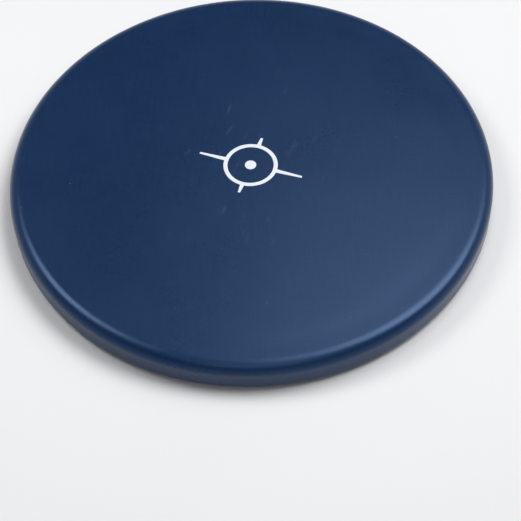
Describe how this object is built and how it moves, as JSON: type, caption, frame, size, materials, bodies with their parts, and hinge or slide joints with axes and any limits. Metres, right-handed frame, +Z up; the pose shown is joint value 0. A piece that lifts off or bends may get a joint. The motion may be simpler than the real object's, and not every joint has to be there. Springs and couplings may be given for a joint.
{
  "type": "practice pad",
  "caption": "Round soft drum practice pad: woven cover over a gel slab and soft edge ring on a stiff board, with a foam base that rests on a drumhead.",
  "frame": {"origin": "centre of the underside of the foam base, where the pad rests", "axes": "+Z up through the playing surface, -Y towards the player, +X to the player's right"},
  "size_m": [0.3556, 0.3556, 0.0256],
  "materials": {
    "cover": "dark blue fine woven cloth with a satin coating",
    "gel": "clear blue soft gel, wet gloss",
    "film": "thin clear film",
    "edge_foam": "firm closed-cell foam rubber, charcoal",
    "board": "raw fibreboard with a sawn edge",
    "base_foam": "black closed-cell foam with a fine skin",
    "staple": "galvanised wire",
    "ink": "white screen-printed ink, semi-matte"
  },
  "bodies": {
    "root": {"foam_base": "base_foam", "core_board": "board", "barrier_film": "film", "gel_slab": "gel", "edge_ring": "edge_foam", "playing_cover": "cover", "printed_ring": "ink", "printed_dot": "ink", "hem_staple_01": "staple", "hem_staple_02": "staple", "hem_staple_03": "staple", "hem_staple_04": "staple", "hem_staple_05": "staple", "hem_staple_06": "staple", "hem_staple_07": "staple", "hem_staple_08": "staple", "hem_staple_09": "staple", "hem_staple_10": "staple", "hem_staple_11": "staple", "hem_staple_12": "staple", "hem_staple_13": "staple", "hem_staple_14": "staple", "hem_staple_15": "staple", "hem_staple_16": "staple", "hem_staple_17": "staple", "hem_staple_18": "staple", "hem_staple_19": "staple", "hem_staple_20": "staple", "hem_staple_21": "staple", "hem_staple_22": "staple", "hem_staple_23": "staple", "hem_staple_24": "staple", "hem_staple_25": "staple", "hem_staple_26": "staple", "hem_staple_27": "staple", "hem_staple_28": "staple", "hem_staple_29": "staple", "hem_staple_30": "staple", "hem_staple_31": "staple", "hem_staple_32": "staple", "hem_staple_33": "staple", "hem_staple_34": "staple", "hem_staple_35": "staple", "hem_staple_36": "staple"}
  },
  "joints": []
}
